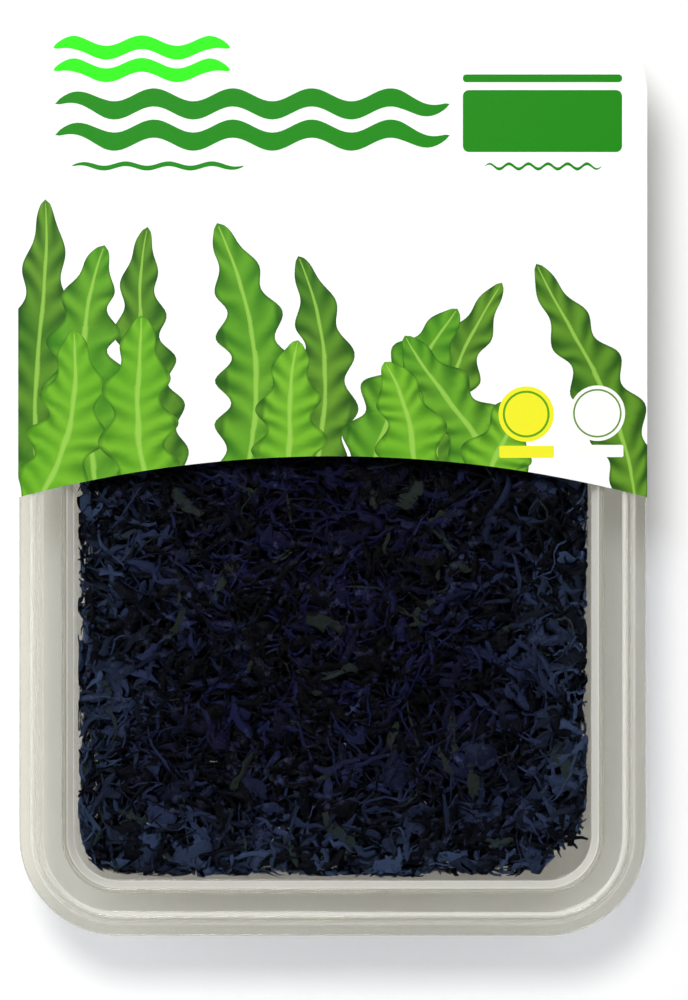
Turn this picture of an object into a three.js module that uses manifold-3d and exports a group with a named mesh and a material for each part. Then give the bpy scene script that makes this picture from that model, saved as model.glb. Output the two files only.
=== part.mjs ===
// A retail pack of dried wakame, lying on its back. A clear thermoformed tray with rounded corners is
// filled with small dried shreds of the seaweed. A clear lid closes it, with a snap bead round its rim
// and a sunken panel, and a printed card is glued over the upper half of the lid.
// Millimetres, +Z up, +Y towards the end with the card, origin under the middle of the tray's base.

import * as THREE from "three";
import { mergeVertices } from "three/addons/utils/BufferGeometryUtils.js";
import Module from "manifold-3d";

const wasm = await Module();
wasm.setup();

// Driving dimensions
const PACK_WIDTH = 145;
const PACK_LENGTH = 217;
const CORNER_RADIUS = 23;
const FLANGE_TOP = 30;
const SHEET = 0.7;
const CARD_THICKNESS = 0.5;

// Plan outline: an inset is measured inward from the flange's outer edge
const LEAST_RADIUS = 10;
const CORNER_STEPS = 8;

// Tray
const FOOT_INSET = 14.6;
const FOOT_WIDTH = 7;
const BASE_RECESS = 1.2;
const BASE_FILLET = 1.6;
const WALL_TOP_INSET = 11.5;
const LEDGE_Z = 24.2;
const LEDGE_RISE = 0.6;
const MOUTH_INSET = 9.9;
const MOUTH_DRAFT = 0.4;
const SNAP_RIB_INSET = 4.1;
const SNAP_RIB_FOOT = 0.6;
const SNAP_RIB_CREST = 0.2;
const SNAP_RIB_HEIGHT = 0.8;

// Lid
const BEAD_START = 2.8;
const BEAD_END = 5.4;
const BEAD_HEIGHT = 1.3;
const BEAD_SLOPE = 0.5;
const BEAD_WALL = 0.4;
const PLUG_INSET = 11;
const PLUG_ROUND = 0.5;
const PANEL_Z = 26;
const PANEL_INSET = 12.2;

// Card: its lower edge is an arc, higher in the middle than at the sides
const CARD_SIDE_Y = -7.1;
const CARD_MIDDLE_Y = 2.4;

// Filling: a packed core with larger-than-life shreds standing out of it on every side
const CLEARANCE = 0.35;
const SHRED_SEED = 20417;
const SHRED_LENGTH = [20, 32];
const SHRED_WIDTH = [6, 9.5];
const SHRED_THICKNESS = 1;
const SHRED_SINK = 1.2;
const SHRED_BOW = 3;
const SHRED_TWIST = 0.3;
const SHRED_SPARE = 0.2;
const SHRED_NARROWING = 0.5;
// Where a shred has its three sections, from -1 at one tip to 1 at the other
const SHRED_SECTIONS = [-0.6, 0, 0.6];
// How much of its cell of the layer's grid a shred's middle may wander over
const PLACE_SPREAD = [0.1, 0.9];
const SLIDE_STEPS = 60;
const TOP_LAYER = { depth: 3.2, columns: 8, rows: 12, scale: 1, heading: Math.PI, slide: [0.97, 0.97] };
const SIDE_LAYER = { depth: 2.2, columns: 22, rows: 2, scale: 0.75, heading: 0.6, slide: [1, 0.9] };
const BOTTOM_LAYER = { depth: 1.6, columns: 4, rows: 6, scale: 1, heading: Math.PI, slide: [0.97, 0.97] };

// Below these distances two points count as in line, or as one
const FIT_SLACK = 0.01;
const MERGE_DISTANCE = 1e-4;

// A point of the plan moved straight out or in, as seen from the nearest corner's centre or side, onto
// the outline at an inset. What lies within the box of the corners' centres stays where it is.
function ontoRing(x, y, inset) {
  const radius = Math.max(CORNER_RADIUS - inset, LEAST_RADIUS);
  const boxX = PACK_WIDTH / 2 - inset - radius;
  const boxY = PACK_LENGTH / 2 - inset - radius;
  const nearX = THREE.MathUtils.clamp(x, -boxX, boxX);
  const nearY = THREE.MathUtils.clamp(y, -boxY, boxY);
  const away = Math.hypot(x - nearX, y - nearY);
  const scale = away > 0 ? radius / away : 0;
  return [nearX + (x - nearX) * scale, nearY + (y - nearY) * scale];
}

// One ring of the plan outline, counter-clockwise
function ring(inset) {
  const radius = Math.max(CORNER_RADIUS - inset, LEAST_RADIUS);
  const boxX = PACK_WIDTH / 2 - inset - radius;
  const boxY = PACK_LENGTH / 2 - inset - radius;
  const points = [];
  for (const [corner, [sx, sy]] of [[1, 1], [-1, 1], [-1, -1], [1, -1]].entries()) {
    for (let i = 0; i <= CORNER_STEPS; i++) {
      const angle = ((corner + i / CORNER_STEPS) * Math.PI) / 2;
      points.push([sx * boxX + radius * Math.cos(angle), sy * boxY + radius * Math.sin(angle)]);
    }
  }
  return points;
}

function geometryOf(vertices, faces) {
  return new THREE.BufferGeometry()
    .setAttribute("position", new THREE.Float32BufferAttribute(vertices.flat(), 3))
    .setIndex(faces.flat());
}

// A closed solid from a profile of [inset, z] pairs that runs out from the middle of its underside,
// up round its edge and back in to the middle of its top
function solidOfProfile(profile) {
  const rings = profile.map(([inset, z]) => ring(inset).map(([x, y]) => [x, y, z]));
  const count = rings[0].length;
  const topRing = (rings.length - 1) * count;
  const bottomCentre = rings.length * count;
  const topCentre = bottomCentre + 1;
  const faces = [];
  for (let i = 0; i < count; i++) {
    const next = (i + 1) % count;
    for (let low = 0; low < topRing; low += count) {
      const high = low + count;
      faces.push([low + i, low + next, high + next], [low + i, high + next, high + i]);
    }
    faces.push([bottomCentre, next, i], [topCentre, topRing + i, topRing + next]);
  }
  return geometryOf([...rings.flat(), [0, 0, profile[0][1]], [0, 0, profile.at(-1)[1]]], faces);
}

// Tray: foot ring round a raised base panel, drafted wall, ledge, mouth and flange with a snap rib
function trayGeometry() {
  const recess = FOOT_INSET + FOOT_WIDTH;
  const ledgeInset = MOUTH_INSET + MOUTH_DRAFT;
  return solidOfProfile([
    [recess + 2 * BASE_RECESS, BASE_RECESS],
    [recess + BASE_RECESS, BASE_RECESS],
    [recess, 0],
    [FOOT_INSET + BASE_FILLET, 0],
    [FOOT_INSET + 0.3 * BASE_FILLET, 0.3 * BASE_FILLET],
    [FOOT_INSET, BASE_FILLET],
    [WALL_TOP_INSET, LEDGE_Z],
    [ledgeInset, LEDGE_Z + LEDGE_RISE],
    [MOUTH_INSET, FLANGE_TOP - SHEET],
    [0, FLANGE_TOP - SHEET],
    [0, FLANGE_TOP],
    [SNAP_RIB_INSET - SNAP_RIB_FOOT, FLANGE_TOP],
    [SNAP_RIB_INSET - SNAP_RIB_CREST, FLANGE_TOP + SNAP_RIB_HEIGHT],
    [SNAP_RIB_INSET + SNAP_RIB_CREST, FLANGE_TOP + SNAP_RIB_HEIGHT],
    [SNAP_RIB_INSET + SNAP_RIB_FOOT, FLANGE_TOP],
    [MOUTH_INSET + 0.5 * SHEET, FLANGE_TOP],
    [MOUTH_INSET + SHEET, FLANGE_TOP - 0.5 * SHEET],
    [ledgeInset + SHEET, LEDGE_Z + LEDGE_RISE + 0.4 * SHEET],
    [WALL_TOP_INSET + SHEET, LEDGE_Z + 0.4 * SHEET],
    [FOOT_INSET + SHEET, BASE_FILLET + 0.4 * SHEET],
    [FOOT_INSET + SHEET + 0.35 * BASE_FILLET, SHEET + 0.35 * BASE_FILLET],
    [FOOT_INSET + SHEET + BASE_FILLET, SHEET],
    [recess - 0.6 * SHEET, SHEET],
    [recess + BASE_RECESS - 0.6 * SHEET, SHEET + BASE_RECESS],
    [recess + 2 * BASE_RECESS, SHEET + BASE_RECESS],
  ]);
}

// Lid: sunken panel, plug wall, shelf, snap bead and flange
function lidGeometry() {
  const top = FLANGE_TOP + SHEET;
  return solidOfProfile([
    [PANEL_INSET + PLUG_ROUND, PANEL_Z],
    [PANEL_INSET - 0.5 * PLUG_ROUND, PANEL_Z],
    [PLUG_INSET + 1.2 * PLUG_ROUND, PANEL_Z + PLUG_ROUND],
    [PLUG_INSET + 0.4 * PLUG_ROUND, FLANGE_TOP - PLUG_ROUND],
    [PLUG_INSET - 0.2 * PLUG_ROUND, FLANGE_TOP],
    [BEAD_END - 0.2 * BEAD_SLOPE, FLANGE_TOP],
    [BEAD_END - BEAD_SLOPE - BEAD_WALL, FLANGE_TOP + BEAD_HEIGHT],
    [BEAD_START + BEAD_SLOPE + BEAD_WALL, FLANGE_TOP + BEAD_HEIGHT],
    [BEAD_START + 0.2 * BEAD_SLOPE, FLANGE_TOP],
    [0, FLANGE_TOP],
    [0, top],
    [BEAD_START, top],
    [BEAD_START + BEAD_SLOPE, top + BEAD_HEIGHT],
    [BEAD_END - BEAD_SLOPE, top + BEAD_HEIGHT],
    [BEAD_END, top],
    [PLUG_INSET - PLUG_ROUND, top],
    [PLUG_INSET + 0.4 * PLUG_ROUND, top - PLUG_ROUND],
    [PANEL_INSET - 0.2 * PLUG_ROUND, PANEL_Z + SHEET + PLUG_ROUND],
    [PANEL_INSET + 0.4 * PLUG_ROUND, PANEL_Z + SHEET],
    [PANEL_INSET + 2 * PLUG_ROUND, PANEL_Z + SHEET],
  ]);
}

// Card: the pack's outline above an arc, lying on the lid's bead
function cardGeometry() {
  const half = PACK_WIDTH / 2;
  const end = PACK_LENGTH / 2;
  const rise = CARD_MIDDLE_Y - CARD_SIDE_Y;
  const arcRadius = (half * half + rise * rise) / (2 * rise);
  const arcAngle = Math.asin(half / arcRadius);
  const up = Math.PI / 2;
  const shape = new THREE.Shape();
  shape.moveTo(half, CARD_SIDE_Y);
  shape.lineTo(half, end - CORNER_RADIUS);
  shape.absarc(half - CORNER_RADIUS, end - CORNER_RADIUS, CORNER_RADIUS, 0, up);
  shape.lineTo(CORNER_RADIUS - half, end);
  shape.absarc(CORNER_RADIUS - half, end - CORNER_RADIUS, CORNER_RADIUS, up, 2 * up);
  shape.lineTo(-half, CARD_SIDE_Y);
  shape.absarc(0, CARD_MIDDLE_Y - arcRadius, arcRadius, up + arcAngle, up - arcAngle, true);
  const options = { depth: CARD_THICKNESS, bevelEnabled: false, curveSegments: CORNER_STEPS };
  const underside = FLANGE_TOP + SHEET + BEAD_HEIGHT;
  return new THREE.ExtrudeGeometry(shape, options).translate(0, 0, underside);
}

// The space that the filling may take
const FILL_TOP = PANEL_Z - CLEARANCE;
const FILL_BOTTOM = SHEET + BASE_RECESS + CLEARANCE;
const FILL_MIDDLE = (FILL_TOP + FILL_BOTTOM) / 2;
const CORE_TOP = FILL_TOP - TOP_LAYER.depth;
const CORE_BOTTOM = FILL_BOTTOM + BOTTOM_LAYER.depth;

function fillInset(z) {
  const share = (z - BASE_FILLET) / (LEDGE_Z - BASE_FILLET);
  const wall = THREE.MathUtils.lerp(FOOT_INSET, WALL_TOP_INSET, THREE.MathUtils.clamp(share, 0, 1));
  return wall + SHEET + CLEARANCE;
}

function fitsTray([x, y, z]) {
  const [edgeX, edgeY] = ontoRing(x, y, fillInset(z));
  const withinX = Math.abs(x) <= Math.abs(edgeX) + FIT_SLACK;
  const withinY = Math.abs(y) <= Math.abs(edgeY) + FIT_SLACK;
  return withinX && withinY && z <= FILL_TOP && z >= FILL_BOTTOM;
}

// The point at a distance along a box of half sides a and b, counter-clockwise
function roundBox(distance, a, b) {
  const sides = [
    [a, -b, 0, 1, 2 * b],
    [a, b, -1, 0, 2 * a],
    [-a, b, 0, -1, 2 * b],
    [-a, -b, 1, 0, 2 * a],
  ];
  let rest = THREE.MathUtils.euclideanModulo(distance, 4 * (a + b));
  for (const [x, y, dx, dy, length] of sides) {
    if (rest < length) return [x + dx * rest, y + dy * rest];
    rest -= length;
  }
  return [a, -b];
}

// Each layer's extent, and how a place (u, v) on the core's face and a height over it become a point.
// A shred that would leave the filling's space slides by steps of the layer's slide towards the middle.
const boxA = PACK_WIDTH / 2 - fillInset(FILL_MIDDLE);
const boxB = PACK_LENGTH / 2 - fillInset(FILL_MIDDLE);
const layers = [
  {
    ...TOP_LAYER,
    extent: [2 * boxA, 2 * boxB],
    place: (u, v, height) => [u, v, CORE_TOP + height],
  },
  {
    ...SIDE_LAYER,
    extent: [4 * (boxA + boxB), FILL_TOP - FILL_BOTTOM],
    place: (u, v, height) => {
      const z = FILL_MIDDLE + v;
      return [...ontoRing(...roundBox(u, boxA, boxB), fillInset(z) + SIDE_LAYER.depth - height), z];
    },
  },
  {
    ...BOTTOM_LAYER,
    extent: [2 * boxA, 2 * boxB],
    place: (u, v, height) => [-u, v, CORE_BOTTOM - height],
  },
];

// Seeded random numbers between two limits
function randomFrom(seed) {
  let state = seed;
  return (low, high) => {
    state = (Math.imul(state, 1664525) + 1013904223) >>> 0;
    return low + ((high - low) * state) / 2 ** 32;
  };
}

// A curled, three-sided shred: three sections along an arched middle line, with both tips in the core
function shredGeometry(layer, place, random) {
  const half = (layer.scale * random(...SHRED_LENGTH)) / 2;
  const halfWidth = (layer.scale * random(...SHRED_WIDTH)) / 2;
  const heading = random(-layer.heading, layer.heading);
  const bow = random(-SHRED_BOW, SHRED_BOW);
  const room = layer.depth - SHRED_THICKNESS - SHRED_SPARE;
  const lift = random(-room, room);
  const crest = room - Math.abs(lift);
  const roll = Math.asin(lift / halfWidth);
  const twist = random(-SHRED_TWIST, SHRED_TWIST);
  const along = [Math.cos(heading), Math.sin(heading)];
  const locals = [];
  for (const t of SHRED_SECTIONS) {
    const turn = roll + twist * t;
    const height = (crest + SHRED_SINK) * (1 - t * t) - SHRED_SINK;
    const width = halfWidth * (1 - SHRED_NARROWING * t * t);
    const across = bow * (1 - t * t);
    for (const [side, rise] of [[-width, 0], [width, 0], [0, SHRED_THICKNESS]]) {
      const v = across + side * Math.cos(turn) - rise * Math.sin(turn);
      locals.push([half * t, v, height + side * Math.sin(turn) + rise * Math.cos(turn)]);
    }
  }
  const lastSection = locals.length - 3;
  const tip = locals.length;
  locals.push([-half, 0, -SHRED_SINK], [half, 0, -SHRED_SINK]);
  const faces = [];
  for (let i = 0; i < 3; i++) {
    const next = (i + 1) % 3;
    for (let from = 0; from < lastSection; from += 3) {
      faces.push([from + i, from + 3 + next, from + 3 + i], [from + i, from + next, from + 3 + next]);
    }
    faces.push([tip, next, i], [tip + 1, lastSection + i, lastSection + next]);
  }
  let [middleU, middleV] = place;
  for (let step = 0; step < SLIDE_STEPS; step++) {
    const [u, v] = [middleU, middleV];
    const turned = ([x, y, z]) =>
      layer.place(u + x * along[0] - y * along[1], v + x * along[1] + y * along[0], z);
    const vertices = locals.map(turned);
    if (vertices.every(fitsTray)) return geometryOf(vertices, faces);
    middleU *= layer.slide[0];
    middleV *= layer.slide[1];
  }
  throw new Error("a shred is too large for its layer");
}

function manifoldOf(geometry) {
  const merged = mergeVertices(geometry, MERGE_DISTANCE);
  return new wasm.Manifold(
    new wasm.Mesh({
      numProp: 3,
      vertProperties: merged.getAttribute("position").array,
      triVerts: new Uint32Array(merged.getIndex().array),
    }),
  );
}

// Filling: the core and every shred joined as one body. Sealed hollows and loose scraps are dropped.
function fillingGeometry() {
  const random = randomFrom(SHRED_SEED);
  const solids = [
    manifoldOf(
      solidOfProfile(
        [CORE_BOTTOM, CORE_BOTTOM, CORE_TOP, CORE_TOP].map((z, i) => {
          const edge = fillInset(z) + SIDE_LAYER.depth;
          return [i % 3 ? edge : edge + LEAST_RADIUS, z];
        }),
      ),
    ),
  ];
  for (const layer of layers) {
    for (let column = 0; column < layer.columns; column++) {
      for (let row = 0; row < layer.rows; row++) {
        const u = ((column + random(...PLACE_SPREAD)) / layer.columns - 0.5) * layer.extent[0];
        const v = ((row + random(...PLACE_SPREAD)) / layer.rows - 0.5) * layer.extent[1];
        solids.push(manifoldOf(shredGeometry(layer, [u, v], random)));
      }
    }
  }
  const bodies = wasm.Manifold.union(solids).decompose();
  const whole = bodies.reduce((best, body) => (body.volume() > best.volume() ? body : best));
  const mesh = whole.getMesh();
  return new THREE.BufferGeometry()
    .setAttribute("position", new THREE.BufferAttribute(mesh.vertProperties, 3))
    .setIndex(new THREE.BufferAttribute(mesh.triVerts, 1));
}

const clearPlastic = {
  color: 0xe4ebe6,
  roughness: 0.12,
  metalness: 0,
  transparent: true,
  opacity: 0.3,
};
const printedCard = { color: 0xf2f5ee, roughness: 0.45, metalness: 0 };
const driedSeaweed = { color: 0x141a2b, roughness: 0.55, metalness: 0, flatShading: true };

function part(name, geometry, look) {
  const mesh = new THREE.Mesh(geometry, new THREE.MeshStandardMaterial(look));
  mesh.name = name;
  return mesh;
}

const pack = new THREE.Group();
pack.add(part("tray", trayGeometry(), clearPlastic));
pack.add(part("lid", lidGeometry(), clearPlastic));
pack.add(part("card", cardGeometry(), printedCard));
pack.add(part("dried_wakame", fillingGeometry(), driedSeaweed));

export default pack;
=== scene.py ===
import math

import bpy
import numpy as np
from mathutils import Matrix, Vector
from mathutils.geometry import delaunay_2d_cdt


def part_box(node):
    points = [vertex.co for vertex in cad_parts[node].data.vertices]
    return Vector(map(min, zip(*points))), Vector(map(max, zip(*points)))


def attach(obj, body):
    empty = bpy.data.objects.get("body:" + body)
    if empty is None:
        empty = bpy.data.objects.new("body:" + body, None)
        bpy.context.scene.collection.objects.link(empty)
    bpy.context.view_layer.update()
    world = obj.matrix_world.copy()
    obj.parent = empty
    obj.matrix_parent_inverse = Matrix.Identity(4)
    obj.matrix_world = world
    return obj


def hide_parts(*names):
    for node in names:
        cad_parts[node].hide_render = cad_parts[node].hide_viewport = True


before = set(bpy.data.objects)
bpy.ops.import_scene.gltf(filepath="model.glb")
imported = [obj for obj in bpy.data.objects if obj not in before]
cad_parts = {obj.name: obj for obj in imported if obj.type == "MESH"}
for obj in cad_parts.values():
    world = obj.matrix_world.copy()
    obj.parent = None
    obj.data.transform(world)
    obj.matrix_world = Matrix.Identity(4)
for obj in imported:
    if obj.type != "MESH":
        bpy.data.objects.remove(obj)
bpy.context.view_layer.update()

# Sizes are in millimetres, as in the part's own source, and become metres where a mesh is made
MM = 0.001
SEED = 7311

# The pack's outline: an inset is measured inward from the flange's outer edge
tray_low, tray_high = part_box("tray")
card_low, card_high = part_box("card")
PACK_WIDTH = (tray_high[0] - tray_low[0]) / MM
PACK_LENGTH = (tray_high[1] - tray_low[1]) / MM
CORNER_RADIUS = 23
LEAST_RADIUS = 10
CORNER_STEPS = 14
FLANGE_TOP = 30
SHEET = 0.55

# Tray and lid
FOOT_INSET = 14.6
FOOT_WIDTH = 7
BASE_RECESS = 1.2
BASE_FILLET = 1.6
WALL_TOP_INSET = 11.5
LEDGE_Z = 24.2
LEDGE_RISE = 0.6
MOUTH_INSET = 9.9
MOUTH_DRAFT = 0.4
FLANGE_EDGE = 0.3
# Tray and lid nearly touch at the flange
FLANGE_GAP = 0.02
# How far the flat middle of the base and of the lid's panel begins inside the last bend
BASE_FLAT = 3
PANEL_FLAT = 2
SNAP_RIB_INSET = 4.1
SNAP_RIB_HALF = 0.7
SNAP_RIB_HEIGHT = 0.8
BEAD_START = 2.8
BEAD_END = 5.4
BEAD_HEIGHT = 1.3
BEAD_SLOPE = 0.8
PLUG_INSET = 11
PANEL_Z = 26
PANEL_INSET = 12.2
BEND_POINTS = 5
BEND_REACH = 0.5

# Card
CARD_TOP = card_high[2] / MM
CARD_UNDERSIDE = card_low[2] / MM
CARD_SIDE_Y = card_low[1] / MM
CARD_MIDDLE_Y = 2.4
# Printed leaves: depth of the edges' lobes, sway of the midrib, and how far the roots lie off the card
LOBE_DEPTH = 0.27
LEAF_SWAY = 0.34
ROOT_DROP = 4

# Clear sheet: the share of light that goes straight through, and the tint of each face it passes
PLASTIC_COLOUR = (0.955, 0.945, 0.9)
PLASTIC_IOR = 1.46
STRAIGHT_SHARE = 0.7
FLAT_TINT = (0.93, 0.925, 0.89)
STEEP_TINT = (0.84, 0.83, 0.80)
SHADOW_TINT = (0.60, 0.62, 0.66)
# Milky white diffuse on the slopes, a painted highlight for the bright reflected bands on the bends
SLOPE_MILK_SHEEN = 0.4
MILK_SHEEN_COLOUR = (0.93, 0.92, 0.86)
# How level a face is, 1 for flat and 0 for upright, where the tint and the milky painted highlight begin
# and are full
TINT_LEVELS = (0.75, 0.05)
MILK_SHEEN_LEVELS = (0.98, 0.7)

# Filling
WALL_GAP = 0.3
FILL_TOP = PANEL_Z - 0.15
FILL_BOTTOM = 2.15
CORE_TOP = 19.5
CORE_BOTTOM = 4.6
CORE_GAP = 4.5
# How high up among the heap's points a falling shred comes to rest, in percent
RESTING_SHARE = 80
PLACE_TRIES = 3
# The lid presses the uppermost shreds down over this depth
PRESS_DEPTH = 1.2
# This percent of a shred's points sink in, and the heap then reaches this far above each at most
SUNK_SHARE = 12
SHRED_PILE = 0.25
STATIONS = 9
ROUND_POINTS = 6
HALF_THICKNESS = 0.11
EDGE_THINNING = 0.45
# Three kinds of shred: cut ribbon, thin string and broad flake
KIND_SHARES = [0.63, 0.23, 0.14]
LENGTHS = ([5.5, 8, 5], [14, 19, 11])
HALF_WIDTHS = ([0.4, 0.22, 1.3], [1.15, 0.42, 2.7])
CUPS = ([-1.1, 0, -0.6], [1.1, 0.3, 0.6])
# Spreads of a shred's random bends in radians, sideways, up and down and about its own length
CRUMPLE = 0.14
SIDE_BEND = 0.8
SIDE_WAVES = 0.4
RISE_BEND = 0.3
RISE_WAVES = 0.22
ROLL = 0.75
TWIST = 1.3
# How much the ends narrow, and the width left at each torn point of an edge
TAPERS = (0.3, 0.9)
TORN_WIDTHS = (0.62, 1.3)
FRONT_COUNT = 3300
FRONT_PIECES = 2
REAR_COUNT = 650
WALL_COUNT = 1500
BASE_COUNT = 900
# Along Y, the front shreds end at the first place, and the rear ones, under the card, start at the next
FRONT_END_Y = 14
REAR_START_Y = 10
# The heap starts on the core's uneven top, and higher up under the card
CORE_ROUGHNESS = 1.5
REAR_RISE = 3
# Shreds against the wall: how far in they lie, how much they lean, and the room under and over them
WALL_DEPTHS = (0.1, 2.6)
WALL_LEAN = 0.9
WALL_MARGINS = (1.5, 1)
BASE_DEPTH = 2.2
BASE_MARGIN = 3
# Crumbs are tiny shreds, most of them near the pack's front end
CRUMB_COUNT = 30
CRUMB_SIZE = 0.13
CRUMB_REACH_X = 56
CRUMB_START_Y = -94
CRUMB_SPREAD_Y = 16
CRUMB_DEPTHS = (0.3, 0.9)
CRUMB_TONE = 2
# The heap stands a little off the tray's wall, with a ragged edge and an empty wedge at one corner
HEAP_INSET = 13
HEAP_WAVE_DEPTH = 0.6
HEAP_WAVE_LENGTHS = (4.3, 5.1)
HEAP_WAVE_SHIFTS = (1.3, 0.4)
RAGGEDNESS = 0.8
# A shred's middle stays this far inside the heap's side
MIDDLE_GAP = 0.8
EMPTY_CORNER = (58, -95)
EMPTY_DEPTH = 6
EMPTY_SPREAD = 7
# Shreds near the wall are painted duller and paler over this distance, as if lit from the side through
# the clear wall, most of all above the second height; lower ones stay darker, as painted shade
PAINTED_PALE_REACH = 12
PAINTED_PALE_HEIGHTS = (12, 22)
LEAST_PAINTED_PALE = 0.35

# Seaweed colours as 0 to 255 screen values
SHRED_DARK = (2, 2, 6)
SHRED_BLUE = (21, 22, 64)
# Pale flecks: partly salt bloom, partly painted glints on the shreds
SHRED_BLOOM_GLINT = (84, 92, 134)
# Painted light: the dusty colour is the pale, dull look of shreds lit from the side
SHRED_SIDE_LIT = (66, 84, 118)
SHRED_OLIVE = (38, 46, 32)
CRUMB_COLOUR = (140, 150, 138)
# Tones between which a shred turns blue, painted side-lit pale or olive, and a crumb's colour takes over
BLUE_TONES = (0.45, 1)
SIDE_LIT_TONES = (0.35, 0.9)
OLIVE_TONES = (0.955, 0.965)
CRUMB_TONES = (1.4, 1.6)
SHRED_GLOSS = 0.06
CARD_GLOSS = 0.1

# What the camera sees: the photograph's scale at the card, and the frame's centre on the pack
MM_PER_PIXEL = 0.2305
FRAME_HEIGHT_PIXELS = 1000
FRAME_CENTRE = (2.6, -7.7)
CAMERA_HEIGHT = 930
# Strength of the sky near the horizon and above it
LOW_SKY = 1.0
HIGH_SKY = 0.4
# Upward directions between which the low sky fades, and between which the sky goes dark overhead
LOW_SKY_FADE = (0.22, 0.4)
HIGH_SKY_FADE = (0.80, 0.94)
# Soft lamp behind the pack's upper end, and a low weak one on its left, in metres and watts
KEY_PLACE = (-0.13, 0.36, 1.0)
KEY_SIZE = 0.32
KEY_POWER = 7.7
FILL_PLACE = (-1.0, 0.1, 0.6)
FILL_SIZE = 1.2
FILL_POWER = 3
FLOOR_REACH = 4
FLOOR_GLOW = 0.13


def plain_points(points):
    return (np.asarray(points, dtype=float) * MM).tolist()


def ring(inset, steps=CORNER_STEPS):
    """The plan outline at an inset, counter-clockwise, as an array of points."""
    radius = max(CORNER_RADIUS - inset, LEAST_RADIUS)
    box_x = PACK_WIDTH / 2 - inset - radius
    box_y = PACK_LENGTH / 2 - inset - radius
    corner, step = np.divmod(np.arange(4 * (steps + 1)), steps + 1)
    angle = (corner + step / steps) * math.pi / 2
    side_x = np.array([1, -1, -1, 1])[corner]
    side_y = np.array([1, 1, -1, -1])[corner]
    x = side_x * box_x + radius * np.cos(angle)
    y = side_y * box_y + radius * np.sin(angle)
    return np.stack([x, y], axis=1)


def ring_place(x, y, inset):
    """Nearest point of the corner centres' box, how far (x, y) is from it, and how far the outline is."""
    radius = np.maximum(CORNER_RADIUS - inset, LEAST_RADIUS)
    box_x = PACK_WIDTH / 2 - inset - radius
    box_y = PACK_LENGTH / 2 - inset - radius
    near_x = np.clip(x, -box_x, box_x)
    near_y = np.clip(y, -box_y, box_y)
    away = np.hypot(x - near_x, y - near_y)
    return near_x, near_y, away, radius


def onto_ring(x, y, inset, only_outside=False):
    """(x, y) moved onto the outline at an inset. With only_outside, points inside it stay."""
    near_x, near_y, away, radius = ring_place(x, y, inset)
    scale = radius / np.maximum(away, 1e-6)
    if only_outside:
        scale = np.minimum(scale, 1)
    return near_x + (x - near_x) * scale, near_y + (y - near_y) * scale


def fill_inset(z):
    """Inset of the tray's inner wall at a height."""
    share = np.clip((z - BASE_FILLET) / (LEDGE_Z - BASE_FILLET), 0, 1)
    return FOOT_INSET + (WALL_TOP_INSET - FOOT_INSET) * share + SHEET + WALL_GAP


def wall_inset(z):
    """Inset that no shred passes at a height."""
    return np.maximum(fill_inset(z), HEAP_INSET)


def heap_depth(x, y):
    """How far inside the wall the heap's uneven side runs."""
    length_x, length_y = HEAP_WAVE_LENGTHS
    shift_x, shift_y = HEAP_WAVE_SHIFTS
    waves = HEAP_WAVE_DEPTH * (1 + np.sin(x / length_x + shift_x) * np.sin(y / length_y + shift_y))
    off_corner = np.hypot(x - EMPTY_CORNER[0], y - EMPTY_CORNER[1]) / EMPTY_SPREAD
    return waves + EMPTY_DEPTH * np.exp(-0.5 * off_corner**2)


def bent(profile, reach):
    """The profile with each inner corner replaced by a short curve."""
    points = [np.array(p, dtype=float) for p in profile]
    curve = [points[0]]
    for before, corner, after in zip(points, points[1:], points[2:]):
        inward = before - corner
        outward = after - corner
        start = corner + inward * min(0.45, reach / np.linalg.norm(inward))
        end = corner + outward * min(0.45, reach / np.linalg.norm(outward))
        for share in np.linspace(0, 1, BEND_POINTS):
            near_start = (1 - share) * start + share * corner
            near_end = (1 - share) * corner + share * end
            curve.append((1 - share) * near_start + share * near_end)
    curve.append(points[-1])
    return curve


def smooth_faces(mesh, smooth=True):
    mesh.polygons.foreach_set("use_smooth", [smooth] * len(mesh.polygons))
    mesh.update()


def piece(name, mesh, material, node):
    """Adds a finished mesh as a piece that takes the place of a solid of the frame."""
    mesh.materials.append(material)
    thing = bpy.data.objects.new(name, mesh)
    bpy.context.scene.collection.objects.link(thing)
    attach(thing, "root")
    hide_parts(node)


def profile_mesh(name, profile):
    """A closed shell from a profile of (inset, z) pairs, from its underside's middle to its top's."""
    count = 4 * (CORNER_STEPS + 1)
    rings = [np.column_stack([ring(inset), np.full(count, z)]) for inset, z in profile]
    faces = [tuple(range(count))[::-1]]
    for low in range(0, (len(rings) - 1) * count, count):
        high = low + count
        for i in range(count):
            after = (i + 1) % count
            faces.append((low + i, low + after, high + after, high + i))
    last = (len(rings) - 1) * count
    faces.append(tuple(range(last, last + count)))
    mesh = bpy.data.meshes.new(name)
    mesh.from_pydata(plain_points(np.concatenate(rings)), [], faces)
    smooth_faces(mesh)
    return mesh


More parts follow.
